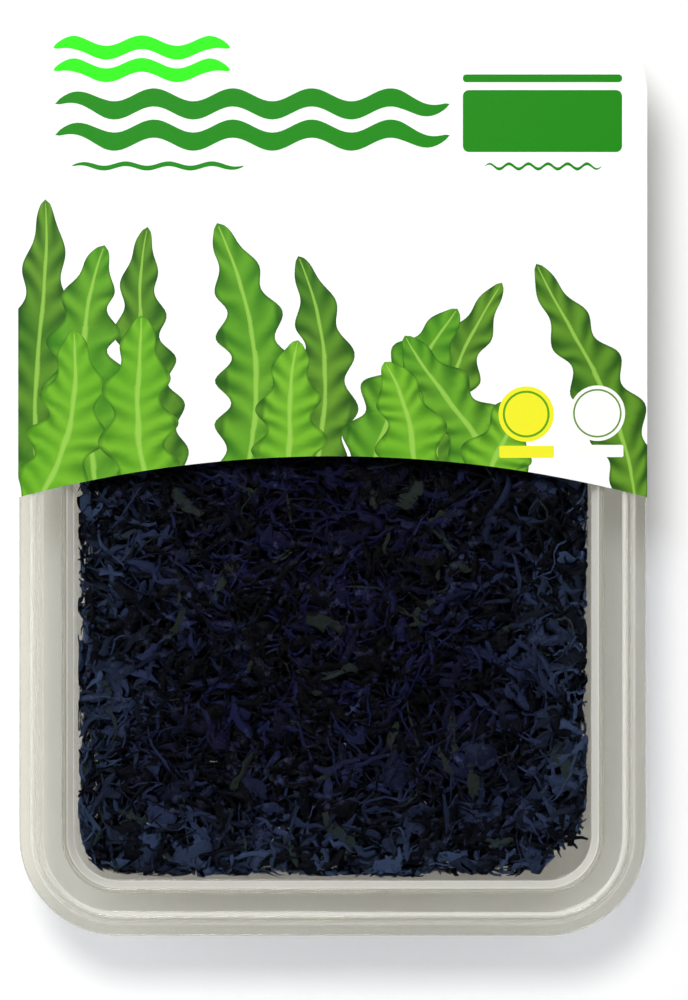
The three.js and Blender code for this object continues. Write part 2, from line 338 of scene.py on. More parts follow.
def tray_profile():
    recess = FOOT_INSET + FOOT_WIDTH
    ledge = MOUTH_INSET + MOUTH_DRAFT
    top = FLANGE_TOP - FLANGE_GAP
    # The inner face's bends are shifted, so that the sheet keeps its thickness on a slope
    shift = 0.3
    return [
        (recess + BASE_FLAT, BASE_RECESS),
        (recess + BASE_RECESS, BASE_RECESS),
        (recess, 0),
        (FOOT_INSET + 0.9 * BASE_FILLET, 0),
        (FOOT_INSET, 1.2 * BASE_FILLET),
        (WALL_TOP_INSET, LEDGE_Z),
        (ledge, LEDGE_Z + LEDGE_RISE),
        (MOUTH_INSET, FLANGE_TOP - SHEET),
        (FLANGE_EDGE, FLANGE_TOP - SHEET),
        (0, FLANGE_TOP - 0.5 * SHEET),
        (FLANGE_EDGE, top),
        (SNAP_RIB_INSET - SNAP_RIB_HALF, top),
        (SNAP_RIB_INSET, FLANGE_TOP + SNAP_RIB_HEIGHT),
        (SNAP_RIB_INSET + SNAP_RIB_HALF, top),
        (MOUTH_INSET + SHEET, top),
        (ledge + SHEET, LEDGE_Z + LEDGE_RISE + shift),
        (WALL_TOP_INSET + SHEET, LEDGE_Z + shift),
        (FOOT_INSET + SHEET, 1.2 * BASE_FILLET + shift),
        (FOOT_INSET + 0.9 * BASE_FILLET + SHEET, SHEET),
        (recess - shift, SHEET),
        (recess + BASE_RECESS - shift, SHEET + BASE_RECESS),
        (recess + BASE_FLAT, SHEET + BASE_RECESS),
    ]


def lid_profile():
    top = FLANGE_TOP + SHEET
    underside = FLANGE_TOP + FLANGE_GAP
    shift = 0.2
    return [
        (PANEL_INSET + PANEL_FLAT, PANEL_Z),
        (PANEL_INSET - shift, PANEL_Z),
        (PLUG_INSET + shift, underside),
        (BEAD_END, underside),
        (BEAD_END - BEAD_SLOPE, FLANGE_TOP + BEAD_HEIGHT),
        (BEAD_START + BEAD_SLOPE, FLANGE_TOP + BEAD_HEIGHT),
        (BEAD_START, underside),
        (FLANGE_EDGE, underside),
        (0, FLANGE_TOP + 0.5 * SHEET),
        (FLANGE_EDGE, top),
        (BEAD_START - 0.5 * shift, top),
        (BEAD_START + 0.5 * BEAD_SLOPE, top + BEAD_HEIGHT),
        (BEAD_END - 0.5 * BEAD_SLOPE, top + BEAD_HEIGHT),
        (BEAD_END + 0.5 * shift, top),
        (PLUG_INSET + 0.5 * shift, top),
        (PANEL_INSET + shift, PANEL_Z + SHEET),
        (PANEL_INSET + PANEL_FLAT, PANEL_Z + SHEET),
    ]


# Node helpers
def new_material(name):
    material = bpy.data.materials.new(name)
    material.use_nodes = True
    nodes = material.node_tree.nodes
    return material, nodes, material.node_tree.links, nodes["Principled BSDF"]


def noise(nodes, links, scale, detail=3.0, roughness=0.5, stretch=(1, 1, 1)):
    """Object-space noise with about scale features to the metre."""
    place = nodes.new("ShaderNodeTexCoord")
    mapping = nodes.new("ShaderNodeMapping")
    mapping.inputs["Scale"].default_value = stretch
    texture = nodes.new("ShaderNodeTexNoise")
    texture.inputs["Scale"].default_value = scale
    texture.inputs["Detail"].default_value = detail
    texture.inputs["Roughness"].default_value = roughness
    links.new(place.outputs["Object"], mapping.inputs["Vector"])
    links.new(mapping.outputs["Vector"], texture.inputs["Vector"])
    return texture.outputs["Fac"]


def remapped(nodes, links, value, low, high, to_low=0.0, to_high=1.0):
    node = nodes.new("ShaderNodeMapRange")
    node.inputs["From Min"].default_value = low
    node.inputs["From Max"].default_value = high
    node.inputs["To Min"].default_value = to_low
    node.inputs["To Max"].default_value = to_high
    links.new(value, node.inputs["Value"])
    return node.outputs["Result"]


def maths(nodes, links, operation, first, second=None):
    node = nodes.new("ShaderNodeMath")
    node.operation = operation
    for socket, value in zip(node.inputs, (first, second)):
        if isinstance(value, (int, float)):
            socket.default_value = value
        elif value is not None:
            links.new(value, socket)
    return node.outputs["Value"]


def mixed(nodes, links, factor, first, second, blend="MIX", data_type="RGBA"):
    """Mix of two colours, or of two numbers with data_type FLOAT, each a socket or a value."""
    node = nodes.new("ShaderNodeMix")
    node.data_type = data_type
    node.blend_type = blend
    for name, value in (("Factor", factor), ("A", first), ("B", second)):
        if isinstance(value, (int, float)):
            node.inputs[name].default_value = value
        elif isinstance(value, tuple):
            node.inputs[name].default_value = (*value, 1)
        else:
            links.new(value, node.inputs[name])
    return node.outputs["Result"]


def bumped(nodes, links, shader, height, distance, strength=1.0):
    bump = nodes.new("ShaderNodeBump")
    bump.inputs["Strength"].default_value = strength
    bump.inputs["Distance"].default_value = distance
    links.new(height, bump.inputs["Height"])
    links.new(bump.outputs["Normal"], shader.inputs["Normal"])


def linear(red, green, blue):
    """A colour given as 0 to 255 screen values, as linear values."""
    def one(value):
        share = value / 255
        return share / 12.92 if share <= 0.04045 else ((share + 0.055) / 1.055) ** 2.4
    return one(red), one(green), one(blue)


# Materials
def slope_and_height(nodes, links):
    """How level the mesh is, 1 for flat and 0 for upright, and its height in metres."""
    place = nodes.new("ShaderNodeTexCoord")
    facing = nodes.new("ShaderNodeSeparateXYZ")
    point = nodes.new("ShaderNodeSeparateXYZ")
    links.new(place.outputs["Normal"], facing.inputs["Vector"])
    links.new(place.outputs["Object"], point.inputs["Vector"])
    return maths(nodes, links, "ABSOLUTE", facing.outputs["Z"]), point.outputs["Z"]


def clear_plastic(name):
    """Thin clear sheet. Part of the light is bent as in glass, and the rest goes straight through."""
    material, nodes, links, shader = new_material(name)
    shader.inputs["Base Color"].default_value = (*PLASTIC_COLOUR, 1)
    shader.inputs["Transmission Weight"].default_value = 1
    shader.inputs["IOR"].default_value = PLASTIC_IOR
    haze = noise(nodes, links, 90, 2.0)
    links.new(remapped(nodes, links, haze, 0.35, 0.75, 0.01, 0.05), shader.inputs["Roughness"])
    ripples = noise(nodes, links, 55, 1.0)
    bumped(nodes, links, shader, ripples, 0.0004, 0.12)
    level, height = slope_and_height(nodes, links)
    path = nodes.new("ShaderNodeLightPath")
    is_shadow = path.outputs["Is Shadow Ray"]
    steep = remapped(nodes, links, level, *TINT_LEVELS)
    clear = nodes.new("ShaderNodeBsdfTransparent")
    seen = mixed(nodes, links, steep, FLAT_TINT, STEEP_TINT)
    links.new(mixed(nodes, links, is_shadow, seen, SHADOW_TINT), clear.inputs["Color"])
    body = nodes.new("ShaderNodeMixShader")
    links.new(remapped(nodes, links, is_shadow, 0, 1, STRAIGHT_SHARE, 1), body.inputs["Fac"])
    links.new(shader.outputs["BSDF"], body.inputs[1])
    links.new(clear.outputs["BSDF"], body.inputs[2])
    # Milky white on the slopes above the tray's ledge, where the sheet is bent most: a painted highlight
    # standing in for the bright reflected bands there
    sloping = remapped(nodes, links, level, *MILK_SHEEN_LEVELS, 0, SLOPE_MILK_SHEEN)
    high = remapped(nodes, links, height, LEDGE_Z * MM, (LEDGE_Z + LEDGE_RISE) * MM)
    milk_sheen = maths(nodes, links, "MULTIPLY", sloping, high)
    milk_sheen_shader = nodes.new("ShaderNodeBsdfDiffuse")
    milk_sheen_shader.inputs["Color"].default_value = (*MILK_SHEEN_COLOUR, 1)
    whole = nodes.new("ShaderNodeMixShader")
    milk_sheen_share = mixed(nodes, links, is_shadow, milk_sheen, 0, data_type="FLOAT")
    links.new(milk_sheen_share, whole.inputs["Fac"])
    links.new(body.outputs["Shader"], whole.inputs[1])
    links.new(milk_sheen_shader.outputs["BSDF"], whole.inputs[2])
    links.new(whole.outputs["Shader"], nodes["Material Output"].inputs["Surface"])
    return material


def attribute(nodes, name):
    node = nodes.new("ShaderNodeAttribute")
    node.attribute_name = name
    return node


def dried_seaweed():
    """Blue-black wrinkled shreds, each with its own tone. Some are olive. Those by the wall and high up
    are painted paler, standing in for light from the side, and pale flecks are partly salt bloom, partly
    painted glints.
    """
    material, nodes, links, shader = new_material("dried_seaweed")
    tone = attribute(nodes, "tone").outputs["Fac"]
    pale = attribute(nodes, "pale").outputs["Fac"]
    mottle = noise(nodes, links, 420, 4.0, 0.6)
    patches = noise(nodes, links, 60, 2.0)
    blue = remapped(nodes, links, tone, *BLUE_TONES)
    body = mixed(nodes, links, blue, linear(*SHRED_DARK), linear(*SHRED_BLUE))
    # Pale flecks on the shreds, partly salt bloom and partly painted glints
    mottled = remapped(nodes, links, mottle, 0.56, 0.76)
    patchy = remapped(nodes, links, patches, 0.42, 0.7, 0.1, 0.85)
    bloom_glints = maths(nodes, links, "MULTIPLY", mottled, patchy)
    body = mixed(nodes, links, bloom_glints, body, linear(*SHRED_BLOOM_GLINT))
    # Painted light: shreds near the wall and high up turn pale and dull, as if lit from the side
    toned = remapped(nodes, links, tone, *SIDE_LIT_TONES, 0.04, 1)
    side_lit = maths(nodes, links, "MULTIPLY", pale, toned)
    body = mixed(nodes, links, side_lit, body, linear(*SHRED_SIDE_LIT))
    olive = remapped(nodes, links, tone, *OLIVE_TONES, 0, 0.8)
    body = mixed(nodes, links, olive, body, linear(*SHRED_OLIVE))
    crumb = remapped(nodes, links, tone, *CRUMB_TONES)
    body = mixed(nodes, links, crumb, body, linear(*CRUMB_COLOUR))
    links.new(body, shader.inputs["Base Color"])
    links.new(remapped(nodes, links, mottle, 0.3, 0.7, 0.34, 0.6), shader.inputs["Roughness"])
    shader.inputs["Specular IOR Level"].default_value = SHRED_GLOSS
    wrinkles = noise(nodes, links, 1500, 3.0, 0.65, (1, 1, 0.6))
    bumped(nodes, links, shader, wrinkles, 0.00025, 0.8)
    return material


def printed_card():
    """Smooth white card. The mesh gives the flat inks and each leaf's own coordinates for shading."""
    material, nodes, links, shader = new_material("printed_card")
    ink = attribute(nodes, "ink").outputs["Color"]
    leaf = attribute(nodes, "leaf").outputs["Vector"]
    split = nodes.new("ShaderNodeSeparateXYZ")
    links.new(leaf, split.inputs["Vector"])

    def times(first, second):
        return maths(nodes, links, "MULTIPLY", first, second)

    def plus(first, second):
        return maths(nodes, links, "ADD", first, second)

    across = maths(nodes, links, "ABSOLUTE", split.outputs["X"])
    along = split.outputs["Y"]
    on_leaf = split.outputs["Z"]
    # Slanting folds run from the midrib up to the edge
    wander = times(noise(nodes, links, 70, 2.0), 9.0)
    turns = plus(plus(times(along, 62.0), times(across, -4.5)), wander)
    waves = remapped(nodes, links, maths(nodes, links, "SINE", turns), -1, 1)
    shade = times(waves, remapped(nodes, links, across, 0.05, 0.8, 0.25, 1.0))
    folds = remapped(nodes, links, noise(nodes, links, 38, 3.0), 0.35, 0.65)
    dark = mixed(nodes, links, 1.0, ink, (0.30, 0.42, 0.25), "MULTIPLY")
    light = mixed(nodes, links, 0.38, ink, linear(150, 205, 60))
    shaded = mixed(nodes, links, times(shade, 0.85), light, dark)
    shaded = mixed(nodes, links, times(folds, 0.55), shaded, ink)
    rib = remapped(nodes, links, across, 0.05, 0.11, 1.0, 0.0)
    shaded = mixed(nodes, links, times(rib, 0.7), shaded, linear(158, 208, 84))
    edge = remapped(nodes, links, across, 0.86, 1.0)
    shaded = mixed(nodes, links, times(edge, 0.6), shaded, linear(14, 62, 8))
    colour = mixed(nodes, links, on_leaf, ink, shaded)
    grain = noise(nodes, links, 2600, 2.0)
    specks = remapped(nodes, links, grain, 0.3, 0.7, 0.0, 0.12)
    colour = mixed(nodes, links, specks, colour, (0.8, 0.8, 0.78), "MULTIPLY")
    links.new(colour, shader.inputs["Base Color"])
    links.new(remapped(nodes, links, grain, 0.2, 0.8, 0.38, 0.5), shader.inputs["Roughness"])
    shader.inputs["Specular IOR Level"].default_value = CARD_GLOSS
    bumped(nodes, links, shader, grain, 0.00004, 0.4)
    return material


# Shreds
def shred_shapes(random, count, size=1.0):
    """Curled ribbons lying about the origin, as (count, stations, points round, three)."""
    kind = random.choice(3, count, p=KIND_SHARES)

    def drawn(limits):
        low, high = np.array(limits, float)[:, kind]
        return random.uniform(low, high)[:, None]

    def normal(spread):
        return random.normal(0, spread, (count, 1))

    def ripple(spread, turns):
        turned_by = t * random.uniform(*turns, (count, 1)) + random.random((count, 1))
        return normal(spread) * np.sin(2 * math.pi * turned_by)

    t = np.linspace(0, 1, STATIONS)[None, :]
    length = drawn(LENGTHS) * size
    half_width = drawn(HALF_WIDTHS) * size
    crumple = random.normal(0, CRUMPLE, (3, count, STATIONS))
    heading = normal(SIDE_BEND) * (t - 0.5) + ripple(SIDE_WAVES, (0.8, 2)) + crumple[0]
    pitch = normal(RISE_BEND) * (2 * t - 1) + ripple(RISE_WAVES, (1, 2.5)) + crumple[1]
    level = np.cos(pitch)
    forward = np.stack([level * np.cos(heading), level * np.sin(heading), np.sin(pitch)], axis=2)
    middle = np.cumsum(forward * (length / (STATIONS - 1))[:, :, None], axis=1)
    middle -= middle.mean(axis=1, keepdims=True)
    side = np.stack([-np.sin(heading), np.cos(heading), np.zeros_like(heading)], axis=2)
    up = np.cross(forward, side)
    roll = normal(ROLL) + normal(TWIST) * (t - 0.5) + 1.5 * crumple[2]
    across = np.cos(roll)[:, :, None] * side + np.sin(roll)[:, :, None] * up
    outward = np.cos(roll)[:, :, None] * up - np.sin(roll)[:, :, None] * side
    taper = 1 - random.uniform(*TAPERS, (count, 1)) * np.abs(2 * t - 1) ** 2.5
    width = half_width * taper * (1 + ripple(0.16, (1, 3)))
    cup = drawn(CUPS) * width * (1 + ripple(0.2, (1, 2)))
    place = np.array([-1, 0, 1, 1, 0, -1])
    face = np.array([1, 1, 1, -1, -1, -1])
    # Each long edge is torn by its own amount at each station
    torn = random.uniform(*TORN_WIDTHS, (count, STATIONS, 2))[:, :, [0, 0, 1, 1, 0, 0]]
    thickness = face * HALF_THICKNESS * (1 - EDGE_THINNING * np.abs(place))
    lift = cup[:, :, None] * (1 - np.abs(place)) + thickness
    points = middle[:, :, None] + across[:, :, None] * (width[:, :, None] * place * torn)[..., None]
    return points + outward[:, :, None] * lift[..., None]


def turned(points, angle):
    """Points turned about Z, with one angle for each shred."""
    cosine = np.cos(angle)[:, None, None]
    sine = np.sin(angle)[:, None, None]
    x = points[..., 0] * cosine - points[..., 1] * sine
    y = points[..., 0] * sine + points[..., 1] * cosine
    return np.stack([x, y, points[..., 2]], axis=-1)


def in_heap(points):
    """Which shreds have their middle inside the heap's uneven side."""
    x, y, z = points.mean(axis=(1, 2)).T
    _, _, away, radius = ring_place(x, y, wall_inset(z) + MIDDLE_GAP + heap_depth(x, y))
    return away < radius


def kept_inside(points, random, z):
    """Points held inside the tray's wall, where each shred stops at its own distance from it."""
    own = RAGGEDNESS * random.random((len(points), 1, 1))
    x, y = onto_ring(points[..., 0], points[..., 1], wall_inset(z) + own, only_outside=True)
    return np.stack([x, y, z], axis=-1)


def settled(points, random, region, heights):
    """Drops shreds one by one on the heap, each at the lowest of a few places, under the lid."""
    (low_x, high_x), (low_y, high_y) = region
    points = turned(points, random.uniform(0, 2 * math.pi, len(points)))
    for shred in points:
        best = None
        for _ in range(PLACE_TRIES):
            shift = np.array([random.uniform(low_x, high_x), random.uniform(low_y, high_y)])
            plan = shred[..., :2] + shift
            _, _, away, radius = ring_place(plan[:, 1, 0], plan[:, 1, 1], HEAP_INSET)
            if (away > radius).any():
                continue
            columns = (plan[..., 0] + PACK_WIDTH / 2).astype(int)
            rows = (plan[..., 1] + PACK_LENGTH / 2).astype(int)
            under = heights[columns, rows]
            level = under.mean() + 0.5 * under.max()
            if best is None or level < best[0]:
                best = (level, shift, columns, rows, np.percentile(under, RESTING_SHARE))
        if best is None:
            shred[..., 2] = np.nan
            continue
        _, shift, columns, rows, floor = best
        shred[..., :2] += shift
        z = shred[..., 2] + (floor - np.percentile(shred[..., 2], SUNK_SHARE))
        free_top = FILL_TOP - PRESS_DEPTH
        over = np.maximum(z - free_top, 0)
        z = np.minimum(z, free_top) + PRESS_DEPTH * (1 - np.exp(-over / PRESS_DEPTH))
        shred[..., 2] = z
        grown = np.minimum(z.max(axis=1)[:, None], z + SHRED_PILE)
        np.maximum.at(heights, (columns, rows), grown)
    points = points[~np.isnan(points[:, 0, 0, 2])]
    points = points[in_heap(points)]
    return kept_inside(points, random, points[..., 2])


def against_walls(points, random):
    """Lays shreds against the tray's wall, all round it."""
    count = len(points)
    points = turned(points, random.normal(0, WALL_LEAN, count))
    outline = ring(HEAP_INSET)
    outline = np.vstack([outline, outline[:1]])
    steps = np.linalg.norm(np.diff(outline, axis=0), axis=1)
    travelled = np.concatenate([[0], np.cumsum(steps)])
    start = random.uniform(0, travelled[-1], count)[:, None, None]
    along = (start + points[..., 0]) % travelled[-1]
    under, over = WALL_MARGINS
    level = random.uniform(FILL_BOTTOM + under, FILL_TOP - over, count)[:, None, None]
    z = np.clip(level + points[..., 1], FILL_BOTTOM, FILL_TOP)
    depth = np.maximum(random.uniform(*WALL_DEPTHS, count)[:, None, None] - points[..., 2], 0)
    x = np.interp(along, travelled, outline[:, 0])
    y = np.interp(along, travelled, outline[:, 1])
    x, y = onto_ring(x, y, wall_inset(z) + 0.5 * heap_depth(x, y) + depth)
    return np.stack([x, y, z], axis=-1)


def under_heap(points, random):
    """Lays shreds on the tray's base, seen from below."""
    count = len(points)
    points = turned(points, random.uniform(0, 2 * math.pi, count))
    span_x = PACK_WIDTH / 2 - FOOT_INSET - BASE_MARGIN
    span_y = PACK_LENGTH / 2 - FOOT_INSET - BASE_MARGIN
    shift = random.uniform((-span_x, -span_y, 0), (span_x, span_y, BASE_DEPTH), (count, 3))
    points = points + shift[:, None, None]
    return kept_inside(points, random, FILL_BOTTOM + np.maximum(points[..., 2], 0))


def crumbs(random):
    """A few pale crumbs on top of the heap, most of them near its front edge."""
    points = shred_shapes(random, CRUMB_COUNT, CRUMB_SIZE)
    points = turned(points, random.uniform(0, 2 * math.pi, CRUMB_COUNT))
    x = random.uniform(-CRUMB_REACH_X, CRUMB_REACH_X, CRUMB_COUNT)
    y = CRUMB_START_Y + random.exponential(CRUMB_SPREAD_Y, CRUMB_COUNT)
    z = FILL_TOP - random.uniform(*CRUMB_DEPTHS, CRUMB_COUNT)
    points = points + np.column_stack([x, y, z])[:, None, None]
    return kept_inside(points, random, np.minimum(points[..., 2], FILL_TOP))


def painted_paleness(points):
    """How pale each shred is painted by its height and its distance from the heap's side, from 0 to 1:
    painted light from the side, with lower shreds left darker as painted shade.
    """
    middle = np.abs(points.mean(axis=(1, 2)))
    by_height = np.interp(middle[:, 2], PAINTED_PALE_HEIGHTS, (LEAST_PAINTED_PALE, 1))
    from_side = np.minimum(
        PACK_WIDTH / 2 - HEAP_INSET - middle[:, 0],
        PACK_LENGTH / 2 - HEAP_INSET - middle[:, 1],
    )
    return by_height * np.exp(-np.maximum(from_side, 0) / PAINTED_PALE_REACH)


def shred_mesh(name, points, tones):
    """One mesh of many closed ribbons, with a tone for each."""
    count = len(points)
    faces = []
    for low in range(0, (STATIONS - 1) * ROUND_POINTS, ROUND_POINTS):
        high = low + ROUND_POINTS
        for k in range(ROUND_POINTS):
            after = (k + 1) % ROUND_POINTS
            faces.append((low + k, high + k, high + after, low + after))
    # Each end is closed by two faces
    end = (STATIONS - 1) * ROUND_POINTS
    faces += [(0, 1, 4, 5), (1, 2, 3, 4)]
    faces += [(end + 5, end + 4, end + 1, end), (end + 4, end + 3, end + 2, end + 1)]
    faces = np.array(faces)
    starts = np.arange(count) * STATIONS * ROUND_POINTS
    corners = (faces[None] + starts[:, None, None]).reshape(-1)
    mesh = bpy.data.meshes.new(name)
    mesh.vertices.add(count * STATIONS * ROUND_POINTS)
    mesh.vertices.foreach_set("co", (points * MM).reshape(-1))
    mesh.loops.add(len(corners))
    mesh.loops.foreach_set("vertex_index", corners)
    mesh.polygons.add(count * len(faces))
    mesh.polygons.foreach_set("loop_start", np.arange(count * len(faces)) * 4)
    mesh.update(calc_edges=True)
    mesh.validate()
    # The pale attribute is painted light from the side
    for title, values in (("tone", tones), ("pale", painted_paleness(points))):
        layer = mesh.attributes.new(title, "FLOAT", "POINT")
        layer.data.foreach_set("value", np.repeat(values, STATIONS * ROUND_POINTS))
    smooth_faces(mesh)
    return mesh


def make_filling():
    material = dried_seaweed()
    random = np.random.default_rng(SEED)
    half_x = PACK_WIDTH / 2 - HEAP_INSET
    half_y = PACK_LENGTH / 2 - HEAP_INSET
    rough = random.random((int(PACK_WIDTH) + 1, int(PACK_LENGTH) + 1))
    heights = CORE_TOP + CORE_ROUGHNESS * rough
    rear_heights = heights + REAR_RISE
    front_region = ((-half_x, half_x), (-half_y, FRONT_END_Y))
    rear_region = ((-half_x, half_x), (REAR_START_Y, half_y))
    front = settled(shred_shapes(random, FRONT_COUNT), random, front_region, heights)
    rear = settled(shred_shapes(random, REAR_COUNT), random, rear_region, rear_heights)
    walls = against_walls(shred_shapes(random, WALL_COUNT), random)
    base = under_heap(shred_shapes(random, BASE_COUNT), random)
    groups = {"shreds_rear": rear, "shreds_wall": walls, "shreds_base": base}
    for number, layer in enumerate(np.array_split(front, FRONT_PIECES), start=1):
        groups[f"shreds_front_{number}"] = layer
    for name, points in groups.items():
        mesh = shred_mesh(name, points, random.random(len(points)))
        piece(name, mesh, material, "dried_wakame")
    pale_crumbs = crumbs(random)
    mesh = shred_mesh("crumbs", pale_crumbs, np.full(len(pale_crumbs), CRUMB_TONE))
    piece("crumbs", mesh, material, "dried_wakame")
    top_inset = HEAP_INSET + CORE_GAP
    bottom_inset = fill_inset(CORE_BOTTOM) + CORE_GAP
    core = profile_mesh(
        "packed_core",
        [
            (bottom_inset + LEAST_RADIUS, CORE_BOTTOM),
            (bottom_inset, CORE_BOTTOM),
            (top_inset, CORE_TOP),
            (top_inset + LEAST_RADIUS, CORE_TOP),
        ],
    )
    piece("packed_core", core, material, "dried_wakame")


# Card and its print
def arc_y(x):
    """Height of the card's lower edge at a distance from the middle."""
    half = PACK_WIDTH / 2
    rise = CARD_MIDDLE_Y - CARD_SIDE_Y
    radius = (half**2 + rise**2) / (2 * rise)
    return CARD_MIDDLE_Y - radius + np.sqrt(radius**2 - x**2)


def card_outline():
    upper = ring(0, 20)
    upper = upper[: len(upper) // 2]
    x = np.linspace(-PACK_WIDTH / 2, PACK_WIDTH / 2, 61)
    return np.vstack([upper, np.column_stack([x, arc_y(x)])])


def disc(centre, radius, points=56):
    angle = np.linspace(0, 2 * math.pi, points, endpoint=False)
    return np.column_stack([centre[0] + radius * np.cos(angle), centre[1] + radius * np.sin(angle)])


def plate(low, high, radius, steps=6):
    """A rectangle with round corners, counter-clockwise."""
    points = []
    corners = [(high[0], high[1]), (low[0], high[1]), (low[0], low[1]), (high[0], low[1])]
    for quarter, (x, y) in enumerate(corners):
        inner_x = x - math.copysign(radius, x - (low[0] + high[0]) / 2)
        inner_y = y - math.copysign(radius, y - (low[1] + high[1]) / 2)
        for step in range(steps + 1):
            angle = (quarter + step / steps) * math.pi / 2
            points.append((inner_x + radius * math.cos(angle), inner_y + radius * math.sin(angle)))
    return np.array(points)


def wave_stripe(start, end, middle_y, thickness, swing, waves, points=90):
    """A stripe that rises and falls, with pointed ends."""
    x = np.linspace(start, end, points)
    share = (x - start) / (end - start)
    y = middle_y + swing * np.sin(share * waves * 2 * math.pi)
    half = thickness / 2 * np.minimum(1, 8 * np.minimum(share, 1 - share)) ** 0.5 + 0.01
    upper = np.column_stack([x, y + half])
    lower = np.column_stack([x, y - half])
    return np.vstack([lower, upper[::-1]])


class Blade:
    """A whole leaf of seaweed: a swaying midrib with lobed, wavy edges on both sides."""

    def __init__(self, root, length, half_width, lean, sway, lobes, ink, shift=0.0, stations=72):
        v = np.linspace(0, 1, stations)
        angle = math.radians(90 - lean) + sway * np.sin(v * 2.6 + shift)
        steps = np.column_stack([np.cos(angle), np.sin(angle)]) * (length / (stations - 1))
        self.middle = np.array(root) + np.cumsum(steps, axis=0)
        self.across = np.column_stack([np.sin(angle), -np.cos(angle)])
        body = np.sin(math.pi * np.clip(v, 0, 1) ** 0.72) ** 0.55
        turns = 2 * math.pi * lobes * v + shift
        lobe = 1 + LOBE_DEPTH * np.sin(turns) * np.sin(math.pi * v) ** 0.5
        other = 1 + LOBE_DEPTH * np.sin(turns + 1.9) * np.sin(math.pi * v) ** 0.5
        self.right = half_width * body * lobe + 0.05
        self.left = half_width * body * other + 0.05
        self.v = v
        self.ink = ink

    def outline(self):
        right = self.middle + self.across * self.right[:, None]
        left = self.middle - self.across * self.left[:, None]
        return np.vstack([right, left[::-1]])

    def coordinates(self, points):
        """Across (-1 to 1) and along (0 to 1) of each point."""
        gaps = np.linalg.norm(points[:, None] - self.middle[None], axis=2)
        nearest = gaps.argmin(axis=1)
        offset = ((points - self.middle[nearest]) * self.across[nearest]).sum(axis=1)
        width = np.where(offset > 0, self.right[nearest], self.left[nearest])
        return np.clip(offset / width, -1, 1), self.v[nearest]


def roundel(centre, radii, ground, line, bar):
    """A round mark with a thin ring in it, and a plain bar under it."""
    outer, ring_outer, ring_inner = radii
    return [
        (disc(centre, outer), ground, None),
        (disc(centre, ring_outer), line, None),
        (disc(centre, ring_inner), ground, None),
        (plate(*bar, 0.4), ground, None),
    ]


def card_motifs():
    """The printed regions from back to front, as (outline, ink, leaf or None)."""
    leaf_green = linear(58, 138, 14)
    deep_green = linear(30, 98, 8)
    fresh_green = linear(92, 168, 20)
    title_light = linear(44, 236, 6)
    title_dark = linear(22, 134, 2)
    yellow = linear(240, 236, 40)
    pale = linear(250, 252, 246)
    # Each leaf: its root across the card, length, half width, lean in degrees and number of lobes
    rows = [
        (
            deep_green,
            [
                (-66, 66, 6.5, -14, 5),
                (-38, 60, 6.0, 9, 6),
                (-6, 54, 6.2, -8, 5),
                (24, 50, 5.5, 12, 5),
                (70, 56, 6.0, -10, 5),
            ],
        ),
        (
            leaf_green,
            [
                (-54, 56, 8.0, 12, 6),
                (-22, 62, 7.5, -6, 6),
                (8, 46, 7.5, 16, 5),
                (42, 42, 7.0, -18, 4),
            ],
        ),
        (
            fresh_green,
            [
                (-70, 38, 7.5, 16, 4),
                (-40, 40, 7.5, -16, 4),
                (-12, 34, 7.0, 20, 4),
                (20, 30, 7.0, -24, 3),
                (34, 26, 6.5, 30, 3),
            ],
        ),
    ]
    motifs = []
    for row, (ink, blades) in enumerate(rows):
        for number, (x, length, half_width, lean, lobes) in enumerate(blades):
            root = (x, CARD_SIDE_Y - ROOT_DROP)
            sway = LEAF_SWAY if (number + row) % 2 else -LEAF_SWAY
            blade = Blade(root, length + 6, half_width, lean, sway, lobes, ink, 0.7 * number + row)
            motifs.append((blade.outline(), ink, blade))
    # Each stripe: its start and end across the card, middle, thickness, swing and number of waves
    stripes = [
        (title_light, (-64.4, -23.6, 96.6, 3.2, 1.2, 2.5)),
        (title_light, (-64.4, -23.6, 91.4, 3.2, 1.2, 2.5)),
        (title_dark, (-64, 27, 83.6, 4.2, 1.5, 5)),
        (title_dark, (-64, 27, 76.4, 4.2, 1.5, 5)),
        (title_dark, (-60.2, -20.4, 69.3, 1.1, 0.5, 4)),
    ]
    motifs += [(wave_stripe(*sizes), ink, None) for ink, sizes in stripes]
    motifs += [
        (plate((30, 88.6), (66.7, 90.4), 0.8), title_dark, None),
        (plate((30, 72.5), (66.7, 86.8), 1.4), title_dark, None),
        (wave_stripe(35, 62, 69.2, 0.7, 0.6, 6), title_dark, None),
    ]
    yellow_bar = ((38.4, 2.0), (51, 4.8))
    pale_bar = ((54.6, 2.2), (67, 5.0))
    motifs += roundel((44.6, 12.1), (6.4, 5.4, 4.9), yellow, linear(92, 160, 20), yellow_bar)
    motifs += roundel((61, 12.3), (6.4, 5.6, 5.2), pale, linear(96, 140, 50), pale_bar)
    return motifs


